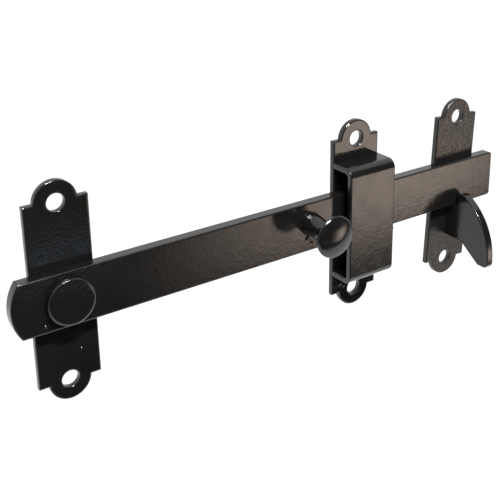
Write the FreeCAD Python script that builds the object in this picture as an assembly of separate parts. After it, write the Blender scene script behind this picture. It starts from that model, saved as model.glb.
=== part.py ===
import FreeCAD, Part
import math
import os

# Suffolk latch set in painted flat steel, shown closed. The bar pivots on a rivet in the left plate, passes
# through a staple on the middle plate and rests in the notch of a hook on the right plate.
# Millimetres. +X runs along the bar to the catch, the front faces -Y and +Z is up. The origin is the pivot's
# axis at the back of the pivot plate, so the wall is the plane y = 0.

os.makedirs("parts", exist_ok=True)

# Sizes

# Plates, three of one pattern
PLATE_W = 25.0          # width across the body
PLATE_T = 2.5           # sheet thickness
PLATE_BODY_H = 73.5     # from the lower shoulders to the upper ones
HOLE_PITCH = 72.0       # between the two screw holes
HOLE_D = 7.0            # plain screw hole
LUG_R = 8.5             # round lug about each screw hole
EDGE_C = 0.35           # bevel of cut edges under the paint
HOLE_EDGE_C = 0.24      # bevel of the screw holes' front rims

# Bar
BAR_H = 22.0
BAR_T = 5.0
BAR_TAIL = 18.4         # pivot axis to the corners of the arched end
BAR_TAIL_RISE = 3.5     # rise of the arched end beyond its corners
BAR_REACH = 220.0       # pivot axis to the square end
BAR_TIP_R = 1.6         # corners of the square end
BAR_TAIL_R = 0.6        # corners of the arched end
BAR_GAP = 0.4           # between the plates and the back of the bar

# Pivot rivet
RIVET_HEAD_D = 18.5
RIVET_HEAD_H = 3.0
RIVET_HEAD_R = 0.9      # rounding of the head's rim, made as two bevels
RIVET_SHOULDER_D = 9.0  # the part the bar turns on
RIVET_TAIL_D = 7.0      # the part clenched in the plate
RIVET_FLARE = 1.3       # depth and extra radius of the clenched end
TURN_CLEAR = 0.05       # radial running clearance of the bar on the shoulder
HEAD_CLEAR = 0.3        # between the head and the bar

# Knob
KNOB_TO_KEEP = 28.6     # knob's axis to the middle plate's centre
KNOB_Z = 1.2            # above the bar's centre line
KNOB_FOOT_R = 5.2       # foot ring on the bar
KNOB_FOOT_H = 2.2       # height of the foot ring
KNOB_FOOT_C = 0.4       # bevel where the foot ring meets the bar
KNOB_FOOT_TAPER = 0.2   # by how much the foot ring is narrower at its top
KNOB_NECK_R = 3.9       # end of the stem's taper
KNOB_NECK_UP = 9.3      # bar face to the end of the taper, where the stem flares to the head
KNOB_HEAD_R = 9.2
KNOB_REACH = 16.0       # bar face to the head's rim
KNOB_DOME = 2.6         # height of the dome in front of the rim
# The head's outline from its underside to the dome: how far in front of the rim, and inside KNOB_HEAD_R
KNOB_HEAD_LINE = [(-2.3, 2.2), (-0.5, 0.1), (0.2, 0.0), (0.9, 0.7), (1.43, 2.0)]
KNOB_TENON_D = 6.0
KNOB_FLARE = 1.0        # depth and extra radius of the tenon's clenched end

# Middle plate and staple
KEEP_TO_CATCH = 60.2    # centre of the middle plate to that of the right one
KEEP_DROP = 3.4         # the plate's centre below the bar's centre line
STRAP_T = 2.5
STAPLE_H = 54.0         # outside height
STAPLE_D = 12.0         # outside depth in front of the plate
STAPLE_R = 4.1          # outside radius of the bends
STAPLE_TENON = 12.0     # width of the limbs' tenons in the plate

# Right plate and hook
BAR_OVERHANG = 21.2     # bar's square end beyond the plate's centre
CATCH_DROP = 4.8
CATCH_LEAN = 3.0        # degrees that the plate's top leans away from the pivot
HOOK_T = 4.0
NOTCH_CLEAR = 1.0       # between the bar's front face and the nose
REST_GAP = 0.1          # between the bar and the bottom of the notch
NOSE_H = 6.5            # nose above the bottom of the notch
NOSE_W = 6.1            # nose from back to front
HOOK_REACH = 30.8       # foremost point of the hook in front of the wall
HOOK_TOE_Z = -31.0      # lowest point of the toe below the plate's centre
HOOK_HEEL_Z = -23.1     # lower edge where the hook meets the plate
TOE_R = 2.4             # rounding of the toe's front
TOE_W = 6.0             # toe from the foremost point back to the underside
HOOK_UNDER_Y = 13.3     # where the lower edge starts to slope, in front of the wall
HOOK_UNDER_R = 7.0      # rounding there
HOOK_CORNER_R = 0.8     # rounding of the outline's other corners
HOOK_TENON = 10.0       # height of the hook's tenon in the plate
HOOK_TENON_UP = 3.0     # the tenon's lower end above the heel
NOSE_FALL = 1.3         # fall of the nose's rounded top at its back and front

# Sizes that follow from the ones above
bar_back = -(PLATE_T + BAR_GAP)
bar_front = bar_back - BAR_T
catch_x = BAR_REACH - BAR_OVERHANG
keep_x = catch_x - KEEP_TO_CATCH
knob_x = keep_x - KNOB_TO_KEEP
plate_half = PLATE_BODY_H / 2.0
hole_z = HOLE_PITCH / 2.0


def solid(shape):
    shape = shape.removeSplitter()
    return shape.Solids[0] if len(shape.Solids) == 1 else shape


def wire_of(edges):
    return Part.Wire(Part.__sortEdges__(edges))


def line(a, b):
    return Part.makeLine(FreeCAD.Vector(*a), FreeCAD.Vector(*b))


def arc(a, b, c):
    return Part.Arc(FreeCAD.Vector(*a), FreeCAD.Vector(*b), FreeCAD.Vector(*c)).toShape()


def blend(before, start, end, after):
    """Smooth curve from start to end that carries on the lines from before and to after."""
    ends = [FreeCAD.Vector(*p) for p in (before, start, end, after)]
    spline = Part.BSplineCurve()
    spline.interpolate(Points=ends[1:3], InitialTangent=ends[1] - ends[0], FinalTangent=ends[3] - ends[2])
    return spline.toShape()


def rod(radius, y_back, y_front, x=0.0, z=0.0):
    """Cylinder along Y between two depths."""
    return Part.makeCylinder(radius, y_back - y_front, FreeCAD.Vector(x, y_back, z), FreeCAD.Vector(0, -1, 0))


def flare(r_back, r_front, y_back, y_front, x=0.0, z=0.0):
    """Cone along Y between two depths."""
    return Part.makeCone(r_back, r_front, y_back - y_front, FreeCAD.Vector(x, y_back, z),
                         FreeCAD.Vector(0, -1, 0))


def turned(edges, x, z):
    """Solid of revolution about an axis along Y; the edges lie in the plane x = 0 with z as the radius."""
    face = Part.Face(wire_of(edges))
    body = face.revolve(FreeCAD.Vector(0, 0, 0), FreeCAD.Vector(0, 1, 0), 360)
    body.translate(FreeCAD.Vector(x, 0, z))
    return body


def soften(shape, pick, radius):
    """Round the edges that pick chooses."""
    edges = [e for e in shape.Edges if pick(e)]
    return shape.makeFillet(radius, edges) if edges else shape


def bevel(shape, pick, size):
    """Bevel the edges that pick chooses."""
    return shape.makeChamfer(size, [e for e in shape.Edges if pick(e)])


def in_plane(edge, y):
    return all(abs(v.Point.y - y) < 1e-6 for v in edge.Vertexes) and abs(edge.CenterOfMass.y - y) < 1e-6


def make_plate():
    """One plate about its own centre, back face on y = 0."""
    body = Part.makeBox(PLATE_W, PLATE_T, PLATE_BODY_H, FreeCAD.Vector(-PLATE_W / 2, -PLATE_T, -plate_half))
    for end in (-1, 1):
        body = body.fuse(rod(LUG_R, 0, -PLATE_T, 0, end * hole_z))
    body = body.removeSplitter()
    body = bevel(body, lambda e: in_plane(e, -PLATE_T), EDGE_C)
    for end in (-1, 1):
        body = body.cut(rod(HOLE_D / 2, 1, -PLATE_T - 1, 0, end * hole_z))
    body = bevel(body, lambda e: in_plane(e, -PLATE_T) and abs(e.Length - math.pi * HOLE_D) < 0.01,
                 HOLE_EDGE_C)
    return solid(body)


def place(shape, x, z, lean=0.0):
    """Set a shape made about a plate's centre at that plate, leaning by some degrees."""
    out = shape.copy()
    out.rotate(FreeCAD.Vector(0, 0, 0), FreeCAD.Vector(0, 1, 0), lean)
    out.translate(FreeCAD.Vector(x, 0, z))
    return out


plate = make_plate()

# Pivot plate, with a countersunk hole for the rivet's clenched end
pivot_plate = plate.cut(rod(RIVET_TAIL_D / 2, 1, -PLATE_T - 1))
pivot_plate = solid(pivot_plate.cut(flare(RIVET_TAIL_D / 2 + RIVET_FLARE, RIVET_TAIL_D / 2, 0, -RIVET_FLARE)))

# Pivot rivet: head, shoulder, tail and clenched end
head_back = bar_front - HEAD_CLEAR
head_front = head_back - RIVET_HEAD_H
head_r = RIVET_HEAD_D / 2
rim_back = head_front + RIVET_HEAD_R
rim_off = RIVET_HEAD_R * (1 - math.sqrt(0.5))
head = rod(head_r, head_back, rim_back)
head = head.fuse(flare(head_r, head_r - rim_off, rim_back, head_front + rim_off))
head = head.fuse(flare(head_r - rim_off, head_r - RIVET_HEAD_R, head_front + rim_off, head_front))
rivet = head.fuse(rod(RIVET_SHOULDER_D / 2, -PLATE_T, head_back))
rivet = rivet.fuse(rod(RIVET_TAIL_D / 2, 0, -PLATE_T))
rivet = solid(rivet.fuse(flare(RIVET_TAIL_D / 2 + RIVET_FLARE, RIVET_TAIL_D / 2, 0, -RIVET_FLARE)))

# Latch bar
h = BAR_H / 2
y = bar_back
tip_x = BAR_REACH - BAR_TIP_R
tip_z = h - BAR_TIP_R
tip_off = BAR_TIP_R * math.sqrt(0.5)
bar_face = Part.Face(wire_of([
    line((-BAR_TAIL, y, h), (tip_x, y, h)),
    arc((tip_x, y, h), (tip_x + tip_off, y, tip_z + tip_off), (BAR_REACH, y, tip_z)),
    line((BAR_REACH, y, tip_z), (BAR_REACH, y, -tip_z)),
    arc((BAR_REACH, y, -tip_z), (tip_x + tip_off, y, -tip_z - tip_off), (tip_x, y, -h)),
    line((tip_x, y, -h), (-BAR_TAIL, y, -h)),
    arc((-BAR_TAIL, y, -h), (-BAR_TAIL - BAR_TAIL_RISE, y, 0), (-BAR_TAIL, y, h)),
]))
bar = bar_face.extrude(FreeCAD.Vector(0, -BAR_T, 0))
bar = soften(bar, lambda e: all(abs(v.Point.x + BAR_TAIL) < 1e-6 for v in e.Vertexes)
             and abs(e.Length - BAR_T) < 1e-6, BAR_TAIL_R)
bar = bevel(bar, lambda e: in_plane(e, bar_front) or in_plane(e, bar_back), EDGE_C)
bar = bar.cut(rod(RIVET_SHOULDER_D / 2 + TURN_CLEAR, bar_back + 1, bar_front - 1))
bar = bar.cut(rod(KNOB_TENON_D / 2, bar_back + 1, bar_front - 1, knob_x, KNOB_Z))
bar = solid(bar.cut(flare(KNOB_TENON_D / 2 + KNOB_FLARE, KNOB_TENON_D / 2, bar_back, bar_back - KNOB_FLARE,
                          knob_x, KNOB_Z)))

# Knob: foot, neck, mushroom head and a tenon clenched at the back of the bar
f = bar_front
rim_y = f - KNOB_REACH
foot_top = (0, f - KNOB_FOOT_H, KNOB_FOOT_R - KNOB_FOOT_TAPER)
neck = (0, f - KNOB_NECK_UP, KNOB_NECK_R)
head_line = [(0, rim_y - ahead, KNOB_HEAD_R - inside) for ahead, inside in KNOB_HEAD_LINE]
cap_y, cap_r = head_line[-1][1:]
tip_y = rim_y - KNOB_DOME
cap_rise = cap_y - tip_y
cap_ball = (cap_r ** 2 + cap_rise ** 2) / (2 * cap_rise)
cap_turn = 0.5 * math.asin(cap_r / cap_ball)
tenon_r = KNOB_TENON_D / 2
knob = turned([
    line((0, bar_back, 0), (0, bar_back, tenon_r + KNOB_FLARE)),
    line((0, bar_back, tenon_r + KNOB_FLARE), (0, bar_back - KNOB_FLARE, tenon_r)),
    line((0, bar_back - KNOB_FLARE, tenon_r), (0, f, tenon_r)),
    line((0, f, tenon_r), (0, f, KNOB_FOOT_R - KNOB_FOOT_C)),
    line((0, f, KNOB_FOOT_R - KNOB_FOOT_C), (0, f - KNOB_FOOT_C, KNOB_FOOT_R)),
    line((0, f - KNOB_FOOT_C, KNOB_FOOT_R), foot_top),
    line(foot_top, neck),
    blend(foot_top, neck, *head_line[:2]),
    *[line(a, b) for a, b in zip(head_line, head_line[1:])],
    arc((0, cap_y, cap_r), (0, tip_y + cap_ball * (1 - math.cos(cap_turn)), cap_ball * math.sin(cap_turn)),
        (0, tip_y, 0)),
    line((0, tip_y, 0), (0, bar_back, 0)),
], knob_x, KNOB_Z)

# Middle plate and staple; the staple's limbs end in tenons, flush in slots at the back of the plate
half = STAPLE_H / 2
front = -PLATE_T - STAPLE_D
tenons = [Part.makeBox(STAPLE_TENON, PLATE_T, STRAP_T, FreeCAD.Vector(-STAPLE_TENON / 2, -PLATE_T, low))
          for low in (half - STRAP_T, -half)]
keep_plate = plate
for tenon in tenons:
    keep_plate = keep_plate.cut(tenon)
keep_plate = place(solid(keep_plate), keep_x, -KEEP_DROP)
outer = Part.makeBox(PLATE_W, STAPLE_D, STAPLE_H, FreeCAD.Vector(-PLATE_W / 2, front, -half))
outer = soften(outer, lambda e: in_plane(e, front) and abs(e.Length - PLATE_W) < 1e-6, STAPLE_R)
inner = Part.makeBox(PLATE_W + 2, STAPLE_D - STRAP_T + 1, STAPLE_H - 2 * STRAP_T,
                     FreeCAD.Vector(-PLATE_W / 2 - 1, front + STRAP_T, -half + STRAP_T))
inner = soften(inner, lambda e: in_plane(e, front + STRAP_T) and abs(e.Length - PLATE_W - 2) < 1e-6,
               STAPLE_R - STRAP_T)
staple = outer.cut(inner)
staple = bevel(staple, lambda e: abs(abs(e.CenterOfMass.x) - PLATE_W / 2) < 1e-6
               and all(abs(abs(v.Point.x) - PLATE_W / 2) < 1e-6 for v in e.Vertexes)
               and max(v.Point.y for v in e.Vertexes) < -PLATE_T - 1e-6, EDGE_C)
for tenon in tenons:
    staple = staple.fuse(tenon)
keep_staple = place(solid(staple), keep_x, -KEEP_DROP)

# Right plate and hook; the hook has one tenon
hook_tenon = Part.makeBox(HOOK_T, PLATE_T, HOOK_TENON,
                         FreeCAD.Vector(-HOOK_T / 2, -PLATE_T, HOOK_HEEL_Z + HOOK_TENON_UP))
catch_plate = place(solid(plate.cut(hook_tenon)), catch_x, -CATCH_DROP, CATCH_LEAN)
skew = HOOK_T / 2 * math.tan(math.radians(CATCH_LEAN))
floor_z = -BAR_H / 2 + CATCH_DROP - REST_GAP - skew
nose_back = bar_front - NOTCH_CLEAR
nose_top = floor_z + NOSE_H
nose_front = nose_back - NOSE_W
shoulder_z = nose_top - NOSE_FALL
toe_z = HOOK_TOE_Z + TOE_R
run, drop = HOOK_REACH + nose_front, shoulder_z - toe_z
ramp_r = (run ** 2 + drop ** 2) / (2 * run)
ramp_turn = 0.5 * math.asin(drop / ramp_r)
# How far the outline turns where the nose meets the ramp; a turn of less than 0.1 rad is left unrounded
nose_turn = abs(2 * math.atan(2 * NOSE_FALL / NOSE_W) - (math.pi / 2 - 2 * ramp_turn))
toe_off = TOE_R * (1 - math.sqrt(0.5))
toe_back = -HOOK_REACH + TOE_W
hook_face = Part.Face(wire_of([
    line((0, -PLATE_T, HOOK_HEEL_Z), (0, -PLATE_T, floor_z)),
    line((0, -PLATE_T, floor_z), (0, nose_back, floor_z)),
    line((0, nose_back, floor_z), (0, nose_back, shoulder_z)),
    arc((0, nose_back, shoulder_z), (0, nose_back - NOSE_W / 2, nose_top), (0, nose_front, shoulder_z)),
    arc((0, nose_front, shoulder_z),
        (0, -HOOK_REACH + ramp_r * (1 - math.cos(ramp_turn)), toe_z + ramp_r * math.sin(ramp_turn)),
        (0, -HOOK_REACH, toe_z)),
    arc((0, -HOOK_REACH, toe_z), (0, -HOOK_REACH + toe_off, HOOK_TOE_Z + toe_off),
        (0, -HOOK_REACH + TOE_R, HOOK_TOE_Z)),
    line((0, -HOOK_REACH + TOE_R, HOOK_TOE_Z), (0, toe_back, HOOK_TOE_Z)),
    line((0, toe_back, HOOK_TOE_Z), (0, -HOOK_UNDER_Y, HOOK_HEEL_Z)),
    line((0, -HOOK_UNDER_Y, HOOK_HEEL_Z), (0, -PLATE_T, HOOK_HEEL_Z)),
]))
hook = hook_face.extrude(FreeCAD.Vector(HOOK_T, 0, 0))
hook.translate(FreeCAD.Vector(-HOOK_T / 2, 0, 0))
# The outline's corners are rounded, then the edges of both sides bevelled
corners = [(nose_back, floor_z, HOOK_CORNER_R), (nose_back, shoulder_z, HOOK_CORNER_R),
           (nose_front, shoulder_z, HOOK_CORNER_R), (toe_back, HOOK_TOE_Z, HOOK_CORNER_R),
           (-HOOK_UNDER_Y, HOOK_HEEL_Z, HOOK_UNDER_R)]
if nose_turn < 0.1:
    del corners[2]
for cy, cz, radius in corners:
    hook = soften(hook, lambda e: abs(e.Length - HOOK_T) < 1e-6
                  and math.hypot(e.CenterOfMass.y - cy, e.CenterOfMass.z - cz) < 1e-4, radius)
hook = bevel(hook, lambda e: abs(abs(e.CenterOfMass.x) - HOOK_T / 2) < 1e-6
             and e.CenterOfMass.y < -PLATE_T - 0.01, EDGE_C)
hook = hook.fuse(hook_tenon)
catch_hook = place(solid(hook), catch_x, -CATCH_DROP, CATCH_LEAN)

nodes = {
    "pivot_plate": pivot_plate,
    "pivot_rivet": rivet,
    "latch_bar": bar,
    "knob": solid(knob),
    "keep_plate": keep_plate,
    "keep_staple": keep_staple,
    "catch_plate": catch_plate,
    "catch_hook": catch_hook,
}
for name, shape in nodes.items():
    box = shape.BoundBox
    print("%-18s %-8s valid %s  volume %.1f  x %.2f..%.2f  y %.2f..%.2f  z %.2f..%.2f" % (
        name, shape.ShapeType, shape.isValid(), shape.Volume,
        box.XMin, box.XMax, box.YMin, box.YMax, box.ZMin, box.ZMax))
    shape.exportStep("parts/%s.step" % name)
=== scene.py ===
import math

import bpy
from mathutils import Euler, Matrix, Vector


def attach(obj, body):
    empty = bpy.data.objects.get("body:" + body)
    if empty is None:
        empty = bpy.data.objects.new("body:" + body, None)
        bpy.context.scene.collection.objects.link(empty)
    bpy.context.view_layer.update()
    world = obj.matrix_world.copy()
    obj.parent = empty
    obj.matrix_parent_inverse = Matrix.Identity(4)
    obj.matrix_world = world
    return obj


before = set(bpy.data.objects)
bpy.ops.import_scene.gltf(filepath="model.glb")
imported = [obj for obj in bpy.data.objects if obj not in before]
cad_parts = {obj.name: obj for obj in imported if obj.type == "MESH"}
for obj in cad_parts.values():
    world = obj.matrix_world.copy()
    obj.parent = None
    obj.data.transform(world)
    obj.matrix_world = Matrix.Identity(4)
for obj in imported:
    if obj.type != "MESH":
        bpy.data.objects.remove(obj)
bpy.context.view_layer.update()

bl_info = {
    "name": "Suffolk Latch Finish",
    "version": (1, 0, 0),
    "blender": (4, 5, 0),
    "location": "View3D > Sidebar > Latch",
    "description": "Glossy black paint, paint marks and a plain studio for a suffolk latch",
    "category": "Object",
}


# Settings

class LatchPaintSettings(bpy.types.PropertyGroup):
    deep: bpy.props.FloatVectorProperty(
        name="Deep black", description="Colour of the paint where it lies thick", subtype="COLOR",
        size=3, min=0.0, max=1.0, default=(0.0070, 0.0068, 0.0068))
    thin: bpy.props.FloatVectorProperty(
        name="Thin black", description="Colour of the paint where it lies thin", subtype="COLOR",
        size=3, min=0.0, max=1.0, default=(0.0130, 0.0120, 0.0112))
    gloss_low: bpy.props.FloatProperty(
        name="Glossiest", description="Roughness of the smoothest paint", min=0.0, max=1.0,
        default=0.08, subtype="FACTOR")
    gloss_high: bpy.props.FloatProperty(
        name="Dullest", description="Roughness of the dullest paint", min=0.0, max=1.0,
        default=0.14, subtype="FACTOR")
    ripple: bpy.props.FloatProperty(
        name="Ripple", description="Width of the ripples in the paint", min=0.0002, max=0.02,
        default=0.0022, unit="LENGTH")
    ripple_height: bpy.props.FloatProperty(
        name="Ripple height", description="Height of the ripples in the paint", min=0.0, max=0.001,
        default=0.000020, unit="LENGTH")
    grain: bpy.props.FloatProperty(
        name="Grain", description="Width of the fine grain in the paint", min=0.0001, max=0.005,
        default=0.0011, unit="LENGTH")
    grain_height: bpy.props.FloatProperty(
        name="Grain height", description="Height of the fine grain in the paint", min=0.0, max=0.001,
        default=0.000028, unit="LENGTH")
    edge: bpy.props.FloatProperty(
        name="Edge", description="Radius to which the paint rounds the edges", min=0.0, max=0.003,
        default=0.0009, unit="LENGTH")


class LatchMarkSettings(bpy.types.PropertyGroup):
    bead: bpy.props.FloatProperty(
        name="Bead", description="Radius of the paint beads under the staple", min=0.0002, max=0.005,
        default=0.0010, unit="LENGTH")
    pimple: bpy.props.FloatProperty(
        name="Pimple", description="Radius of the small marks in the paint", min=0.0001, max=0.003,
        default=0.0006, unit="LENGTH")
    flatness: bpy.props.FloatProperty(
        name="Flatness", description="Height of a mark over its radius", min=0.05, max=1.0,
        default=0.45, subtype="FACTOR")


class LatchStudioSettings(bpy.types.PropertyGroup):
    floor_drop: bpy.props.FloatProperty(
        name="Floor drop", description="Depth of the floor below the pivot", min=0.06, max=3.0,
        default=0.60, unit="LENGTH")
    floor_shade: bpy.props.FloatProperty(
        name="Floor shade", description="Share of the light that the floor gives back", min=0.0, max=1.0,
        default=0.85, subtype="FACTOR")
    floor_glow: bpy.props.FloatProperty(
        name="Floor glow", description="Light of the floor where it is the background", min=0.0, max=1.0,
        default=0.72)
    fill: bpy.props.FloatProperty(
        name="Fill", description="Strength of the light from all round", min=0.0, max=1.0, default=0.35)
    key: bpy.props.FloatProperty(
        name="Key light", description="Power of the lamp above the front", min=0.0, max=500.0,
        default=11.0, unit="POWER")
    flag: bpy.props.FloatProperty(
        name="Flag", description="Strength of the dark flag in mirrored rays", min=0.0, max=1.0,
        default=0.02)
    warm: bpy.props.FloatProperty(
        name="Warm panel", description="Strength of the soft panel in mirrored rays", min=0.0, max=20.0,
        default=3.9)
    cool: bpy.props.FloatProperty(
        name="Cool panel", description="Strength of the low bluish panel in mirrored rays",
        min=0.0, max=20.0, default=1.0)
    glint: bpy.props.FloatProperty(
        name="Glint", description="Strength of the thin strip in mirrored rays", min=0.0, max=1000.0,
        default=260.0)
    lens: bpy.props.FloatProperty(
        name="Lens", description="Focal length on a 36 mm sensor", min=10.0, max=300.0,
        default=65.11, unit="CAMERA")


# Finishes

PAINT_IOR = 1.52
SHADE_SCALE = 38.0                   # patches of thick and thin paint in a metre
GLOSS_SCALE = 160.0                  # patches of glossy and dull paint in a metre
GLOSS_FROM, GLOSS_TO = 0.35, 0.65    # levels of the pattern where the paint is glossiest and dullest
PATTERN_STEP = (0.31, 0.17, 0.23)    # from one piece's pattern to the next, in metres
MARK_PATTERN = (0.7, 0.2, 0.5)       # place of the marks' own pattern, in metres

# Pieces whose paint differs: ripple width, ripple height and grain height over the usual, and how much
# rougher it is
COATS = {
    "catch_plate": (0.70, 11.0, 1.3, 0.20),
    "catch_hook": (1.0, 2.0, 1.0, 0.06),
    "keep_staple": (1.0, 0.5, 0.6, 0.05),
    "latch_bar": (1.0, 0.6, 0.8, 0.02),
    "knob": (1.0, 0.5, 0.5, 0.05),
}


def paint(name, shift, width=1.0, swells=1.0, grains=1.0, dull=0.0):
    """Glossy black paint with an orange-peel ripple and a fine grain, in the piece's own coordinates."""
    cfg = bpy.context.scene.latch_paint
    mat = bpy.data.materials.new(name)
    mat.use_nodes = True
    nodes, links = mat.node_tree.nodes, mat.node_tree.links
    skin = nodes["Principled BSDF"]
    skin.inputs["IOR"].default_value = PAINT_IOR
    place = nodes.new("ShaderNodeTexCoord")
    move = nodes.new("ShaderNodeMapping")
    move.inputs["Location"].default_value = shift
    links.new(place.outputs["Object"], move.inputs["Vector"])

    def noise(scale, detail):
        node = nodes.new("ShaderNodeTexNoise")
        node.inputs["Scale"].default_value = scale
        node.inputs["Detail"].default_value = detail
        links.new(move.outputs["Vector"], node.inputs["Vector"])
        return node.outputs["Fac"]

    blend = nodes.new("ShaderNodeMix")
    blend.data_type = "RGBA"
    blend.inputs["A"].default_value = (*cfg.deep, 1.0)
    blend.inputs["B"].default_value = (*cfg.thin, 1.0)
    links.new(noise(SHADE_SCALE, 3.0), blend.inputs["Factor"])
    links.new(blend.outputs["Result"], skin.inputs["Base Color"])

    span = nodes.new("ShaderNodeMapRange")
    span.inputs["From Min"].default_value = GLOSS_FROM
    span.inputs["From Max"].default_value = GLOSS_TO
    span.inputs["To Min"].default_value = cfg.gloss_low + dull
    span.inputs["To Max"].default_value = cfg.gloss_high + dull
    links.new(noise(GLOSS_SCALE, 4.0), span.inputs["Value"])
    links.new(span.outputs["Result"], skin.inputs["Roughness"])

    # The edges are rounded first, then come the ripple and the grain on top of it
    normal = None
    if cfg.edge > 0.0:
        rounded = nodes.new("ShaderNodeBevel")
        rounded.samples = 8
        rounded.inputs["Radius"].default_value = cfg.edge
        normal = rounded.outputs["Normal"]
    ripple = cfg.ripple * width, cfg.ripple_height * swells
    grain = cfg.grain, cfg.grain_height * grains
    for size, height in (ripple, grain):
        bump = nodes.new("ShaderNodeBump")
        bump.inputs["Strength"].default_value = 1.0
        bump.inputs["Distance"].default_value = height
        links.new(noise(1.0 / size, 1.0), bump.inputs["Height"])
        if normal:
            links.new(normal, bump.inputs["Normal"])
        normal = bump.outputs["Normal"]
    links.new(normal, skin.inputs["Normal"])
    return mat


class LATCH_OT_paint_nodes(bpy.types.Operator):
    """Gives each steel piece its own coat of glossy black paint"""
    bl_idname = "latch.paint_nodes"
    bl_label = "Paint the steel"

    def execute(self, context):
        for i, (name, piece) in enumerate(sorted(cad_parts.items())):
            shift = [step * i for step in PATTERN_STEP]
            piece.data.materials.clear()
            piece.data.materials.append(paint(name + "_paint", shift, *COATS.get(name, ())))
        return {"FINISHED"}


# Paint marks by the piece they lie on: X, how far behind its front and Z, all in metres, and the mark's size
# over the bead's or the pimple's
BEADS = {"keep_plate": [(0.1305, 0.0, -0.0357, 1.0), (0.1325, 0.0, -0.0371, 0.8)]}
PLATE_MARKS = {
    "pivot_plate": [(0.0051, 0.0, -0.0243, 1.0)],
    "keep_staple": [
        (0.1305, 0.0, -0.0207, 1.3),
        (0.1267, 0.0002, -0.0120, 0.7), (0.1267, 0.0002, -0.0153, 0.8), (0.1271, 0.0001, -0.0197, 0.6),
        (0.1509, 0.0004, -0.0052, 0.9), (0.1509, 0.0004, -0.0091, 0.8)],
}
BAR_MARKS = {"latch_bar": [
    (0.1078, 0.0, -0.0050, 2.0), (0.1101, 0.0, -0.0074, 1.3), (-0.0097, 0.0, -0.0080, 1.0)]}
MARK_ROUNDS = 4    # subdivisions of a mark


def mark_tree():
    """Rounded marks at the points of a mesh, as large as their size attribute says."""
    tree = bpy.data.node_groups.new("paint_marks", "GeometryNodeTree")
    face = tree.interface
    face.new_socket("Geometry", in_out="INPUT", socket_type="NodeSocketGeometry")
    for label in ("Radius", "Flatness"):
        face.new_socket(label, in_out="INPUT", socket_type="NodeSocketFloat")
    face.new_socket("Material", in_out="INPUT", socket_type="NodeSocketMaterial")
    face.new_socket("Geometry", in_out="OUTPUT", socket_type="NodeSocketGeometry")
    nodes, links = tree.nodes, tree.links
    start, end = nodes.new("NodeGroupInput"), nodes.new("NodeGroupOutput")
    ball = nodes.new("GeometryNodeMeshIcoSphere")
    ball.inputs["Subdivisions"].default_value = MARK_ROUNDS
    links.new(start.outputs["Radius"], ball.inputs["Radius"])
    squash = nodes.new("GeometryNodeTransform")
    scale = nodes.new("ShaderNodeCombineXYZ")
    scale.inputs["X"].default_value = 1.0
    scale.inputs["Z"].default_value = 1.0
    links.new(start.outputs["Flatness"], scale.inputs["Y"])
    links.new(scale.outputs["Vector"], squash.inputs["Scale"])
    links.new(ball.outputs["Mesh"], squash.inputs["Geometry"])
    size = nodes.new("GeometryNodeInputNamedAttribute")
    size.data_type = "FLOAT"
    size.inputs["Name"].default_value = "size"
    put = nodes.new("GeometryNodeInstanceOnPoints")
    links.new(start.outputs["Geometry"], put.inputs["Points"])
    links.new(squash.outputs["Geometry"], put.inputs["Instance"])
    links.new(size.outputs["Attribute"], put.inputs["Scale"])
    real = nodes.new("GeometryNodeRealizeInstances")
    coat = nodes.new("GeometryNodeSetMaterial")
    links.new(put.outputs["Instances"], real.inputs["Geometry"])
    links.new(real.outputs["Geometry"], coat.inputs["Geometry"])
    links.new(start.outputs["Material"], coat.inputs["Material"])
    links.new(coat.outputs["Geometry"], end.inputs["Geometry"])
    return tree


def front(node):
    """The foremost Y of a steel piece."""
    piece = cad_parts[node]
    return min((piece.matrix_world @ vertex.co).y for vertex in piece.data.vertices)


def make_marks(name, spots, radius, body, tree, coat):
    """One mesh of paint marks that rides on a body."""
    rows = [(x, front(node) + behind, z, size)
            for node, marks in spots.items() for x, behind, z, size in marks]
    points = bpy.data.meshes.new(name + "_points")
    points.from_pydata([row[:3] for row in rows], [], [])
    sizes = points.attributes.new("size", "FLOAT", "POINT")
    for item, row in zip(sizes.data, rows):
        item.value = row[3]
    piece = bpy.data.objects.new(name, points)
    bpy.context.scene.collection.objects.link(piece)
    mod = piece.modifiers.new("marks", "NODES")
    mod.node_group = tree
    wanted = {"Radius": radius, "Flatness": bpy.context.scene.latch_marks.flatness, "Material": coat}
    for item in tree.interface.items_tree:
        if item.in_out == "INPUT" and item.name in wanted:
            mod[item.identifier] = wanted[item.name]
    solid = bpy.data.meshes.new_from_object(piece.evaluated_get(bpy.context.evaluated_depsgraph_get()))
    piece.modifiers.remove(mod)
    piece.data = solid
    solid.shade_smooth()
    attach(piece, body)


class LATCH_OT_paint_marks(bpy.types.Operator):
    """Adds the beads under the staple and the small marks in the paint"""
    bl_idname = "latch.paint_marks"
    bl_label = "Paint marks"

    def execute(self, context):
        cfg = context.scene.latch_marks
        tree, coat = mark_tree(), paint("mark_paint", MARK_PATTERN)
        make_marks("staple_bead", BEADS, cfg.bead, "plates", tree, coat)
        make_marks("plate_pimples", PLATE_MARKS, cfg.pimple, "plates", tree, coat)
        make_marks("bar_pimples", BAR_MARKS, cfg.pimple, "bar", tree, coat)
        return {"FINISHED"}


# Studio, with lengths and places in metres

WHITE = (1.0, 1.0, 1.0)
FLOOR_REACH = 30.0       # from the middle of the floor to each edge
FLOOR_ROUGHNESS = 0.9

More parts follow.
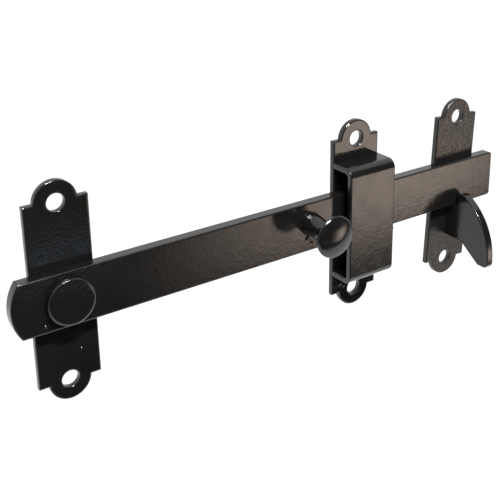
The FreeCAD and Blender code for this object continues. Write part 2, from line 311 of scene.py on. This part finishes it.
# Boards that only mirrored rays meet: the two ends of each on X, Y and Z, and the places along an axis where
# its light starts to rise, is full, starts to fade and ends
FLAG_COLOUR = (0.75, 0.85, 1.0)
FLAG_X, FLAG_Y, FLAG_TOP = (-1.7, 2.7), (-0.63, -0.63), 1.3
FLAG_LIFT = 0.01         # from the floor to the flag
WARM_COLOUR = (1.0, 0.83, 0.70)
WARM_X, WARM_Y, WARM_Z = (0.2, 1.3), (-0.62, -0.62), (-0.55, 0.1)
WARM_FADES = {"X": (0.28, 0.70, 0.71, 1.20), "Z": (-0.42, -0.33, -0.17, -0.05)}
COOL_COLOUR = (0.62, 0.80, 1.0)
COOL_X, COOL_Y, COOL_Z = (0.10, 0.34), (-0.615, -0.615), (-0.32, -0.25)
COOL_FADES = {"X": (0.12, 0.17, 0.26, 0.32), "Z": (-0.303, -0.296, -0.294, -0.268)}
GLINT_X, GLINT_Y, GLINT_Z = (-0.15, 0.21), (-0.575, -0.545), (0.735, 0.775)

KEY_PLACE, KEY_AIM = (0.03, -0.55, 0.75), (0.08, 0.0, 0.0)
KEY_WIDTH, KEY_HEIGHT = 0.36, 0.05

CAMERA_PLACE = (-0.10583, -0.28974, 0.15808)
CAMERA_TURN = (72.4228, 0.9636, -33.6458)    # degrees about X, Y and Z
CAMERA_SHIFT = -0.25                         # moves the frame down by this share of the picture's width


def seen(nodes, links):
    """1 for rays that see the background: the camera's, and those mirrored or passed through."""
    path = nodes.new("ShaderNodeLightPath")
    level = path.outputs["Is Camera Ray"]
    for kind in ("Is Glossy Ray", "Is Transmission Ray"):
        either = nodes.new("ShaderNodeMath")
        either.operation = "MAXIMUM"
        links.new(level, either.inputs[0])
        links.new(path.outputs[kind], either.inputs[1])
        level = either.outputs["Value"]
    return level


def pale_floor(shade, light):
    """Plain floor that also glows where it is the background."""
    mat = bpy.data.materials.new("pale_floor")
    mat.use_nodes = True
    nodes, links = mat.node_tree.nodes, mat.node_tree.links
    chalk = nodes["Principled BSDF"]
    chalk.inputs["Base Color"].default_value = (shade, shade, shade, 1.0)
    chalk.inputs["Roughness"].default_value = FLOOR_ROUGHNESS
    white = nodes.new("ShaderNodeEmission")
    white.inputs["Strength"].default_value = light
    both, pick = nodes.new("ShaderNodeAddShader"), nodes.new("ShaderNodeMixShader")
    links.new(chalk.outputs["BSDF"], both.inputs[0])
    links.new(white.outputs["Emission"], both.inputs[1])
    links.new(seen(nodes, links), pick.inputs["Fac"])
    links.new(chalk.outputs["BSDF"], pick.inputs[1])
    links.new(both.outputs["Shader"], pick.inputs[2])
    links.new(pick.outputs["Shader"], nodes["Material Output"].inputs["Surface"])
    return mat


def light_world(scene, fill):
    """Dim white light from all round, with a plain white background."""
    scene.world = scene.world or bpy.data.worlds.new("studio")
    scene.world.use_nodes = True
    nodes, links = scene.world.node_tree.nodes, scene.world.node_tree.links
    nodes.clear()
    out, pick = nodes.new("ShaderNodeOutputWorld"), nodes.new("ShaderNodeMixShader")
    links.new(seen(nodes, links), pick.inputs["Fac"])
    for socket, strength in ((1, fill), (2, 1.0)):
        sky = nodes.new("ShaderNodeBackground")
        sky.inputs["Color"].default_value = (*WHITE, 1.0)
        sky.inputs["Strength"].default_value = strength
        links.new(sky.outputs["Background"], pick.inputs[socket])
    links.new(pick.outputs["Shader"], out.inputs["Surface"])


def glow(name, colour, strength, fades=None):
    """Plain light surface. fades gives, by axis, where it rises from black and where it falls back."""
    mat = bpy.data.materials.new(name)
    mat.use_nodes = True
    nodes, links = mat.node_tree.nodes, mat.node_tree.links
    nodes.clear()
    out, light = nodes.new("ShaderNodeOutputMaterial"), nodes.new("ShaderNodeEmission")
    light.inputs["Color"].default_value = (*colour, 1.0)
    light.inputs["Strength"].default_value = strength
    links.new(light.outputs["Emission"], out.inputs["Surface"])
    if not fades:
        return mat
    at, split = nodes.new("ShaderNodeTexCoord"), nodes.new("ShaderNodeSeparateXYZ")
    links.new(at.outputs["Object"], split.inputs["Vector"])
    level = None
    for axis, (rise, full, fade, end) in fades.items():
        for low, high, start in ((rise, full, 0.0), (fade, end, 1.0)):
            step, times = nodes.new("ShaderNodeMapRange"), nodes.new("ShaderNodeMath")
            step.interpolation_type = "SMOOTHSTEP"
            step.inputs["From Min"].default_value = low
            step.inputs["From Max"].default_value = high
            step.inputs["To Min"].default_value = start
            step.inputs["To Max"].default_value = 1.0 - start
            links.new(split.outputs[axis], step.inputs["Value"])
            times.operation = "MULTIPLY"
            times.inputs[1].default_value = strength
            if level:
                links.new(level, times.inputs[1])
            links.new(step.outputs["Result"], times.inputs[0])
            level = times.outputs["Value"]
    links.new(level, light.inputs["Strength"])
    return mat


def board(name, x, y, z, mat, all_rays=False):
    """Flat stage piece from an edge at the first Y and Z to one at the last, for mirrored rays or all."""
    corners = [(x[0], y[0], z[0]), (x[1], y[0], z[0]), (x[1], y[1], z[1]), (x[0], y[1], z[1])]
    mesh = bpy.data.meshes.new(name)
    mesh.from_pydata(corners, [], [(0, 1, 2, 3)])
    mesh.materials.append(mat)
    thing = bpy.data.objects.new(name, mesh)
    bpy.context.scene.collection.objects.link(thing)
    thing.visible_camera = thing.visible_shadow = thing.visible_diffuse = all_rays


def key_lamp(power):
    """Long lamp above the front, with its long side level."""
    light = bpy.data.lights.new("key", "AREA")
    light.shape = "RECTANGLE"
    light.size, light.size_y, light.energy = KEY_WIDTH, KEY_HEIGHT, power
    thing = bpy.data.objects.new("key", light)
    thing.location = KEY_PLACE
    thing.rotation_euler = (Vector(KEY_AIM) - Vector(KEY_PLACE)).to_track_quat("-Z", "Y").to_euler()
    bpy.context.scene.collection.objects.link(thing)
    thing.visible_camera = False


def set_camera(scene, lens):
    """Camera at the photograph's viewing angle."""
    eye = bpy.data.cameras.new("camera")
    eye.sensor_width, eye.lens, eye.shift_y = 36.0, lens, CAMERA_SHIFT
    eye.clip_start, eye.clip_end = 0.01, 100.0
    view = bpy.data.objects.new("camera", eye)
    view.location = CAMERA_PLACE
    view.rotation_euler = Euler([math.radians(angle) for angle in CAMERA_TURN])
    scene.collection.objects.link(view)
    scene.camera = view


class LATCH_OT_stage(bpy.types.Operator):
    """Builds the pale floor, the soft lights and the camera"""
    bl_idname = "latch.stage"
    bl_label = "Studio"

    def execute(self, context):
        scene, cfg = context.scene, context.scene.latch_studio
        scene.view_settings.view_transform = "Standard"
        low, reach = -cfg.floor_drop, (-FLOOR_REACH, FLOOR_REACH)
        board("floor", reach, reach, (low, low), pale_floor(cfg.floor_shade, cfg.floor_glow), all_rays=True)
        light_world(scene, cfg.fill)
        board("front_flag", FLAG_X, FLAG_Y, (low + FLAG_LIFT, FLAG_TOP),
              glow("flag_dark", FLAG_COLOUR, cfg.flag))
        board("front_panel", WARM_X, WARM_Y, WARM_Z, glow("front_glow", WARM_COLOUR, cfg.warm, WARM_FADES))
        board("blue_panel", COOL_X, COOL_Y, COOL_Z, glow("blue_glow", COOL_COLOUR, cfg.cool, COOL_FADES))
        board("glint_strip", GLINT_X, GLINT_Y, GLINT_Z, glow("glint", WHITE, cfg.glint))
        key_lamp(cfg.key)
        set_camera(scene, cfg.lens)
        return {"FINISHED"}


class LATCH_PT_panel(bpy.types.Panel):
    """Lists the latch's finishing steps"""
    bl_idname = "LATCH_PT_panel"
    bl_label = "Latch"
    bl_space_type = "VIEW_3D"
    bl_region_type = "UI"
    bl_category = "Latch"

    def draw(self, context):
        for group in (context.scene.latch_paint, context.scene.latch_marks, context.scene.latch_studio):
            for key in group.bl_rna.properties.keys():
                if key not in {"rna_type", "name"}:
                    self.layout.prop(group, key)
        for step in STEPS:
            self.layout.operator(step.bl_idname)


STEPS = (LATCH_OT_paint_nodes, LATCH_OT_paint_marks, LATCH_OT_stage)
CLASSES = (LatchPaintSettings, LatchMarkSettings, LatchStudioSettings, *STEPS, LATCH_PT_panel)


def register():
    for cls in CLASSES:
        bpy.utils.register_class(cls)
    bpy.types.Scene.latch_paint = bpy.props.PointerProperty(type=LatchPaintSettings)
    bpy.types.Scene.latch_marks = bpy.props.PointerProperty(type=LatchMarkSettings)
    bpy.types.Scene.latch_studio = bpy.props.PointerProperty(type=LatchStudioSettings)


def unregister():
    del bpy.types.Scene.latch_paint, bpy.types.Scene.latch_marks, bpy.types.Scene.latch_studio
    for cls in reversed(CLASSES):
        bpy.utils.unregister_class(cls)


def main():
    register()
    bpy.ops.latch.paint_nodes()
    bpy.ops.latch.paint_marks()
    bpy.ops.latch.stage()


if __name__ == "__main__":
    main()
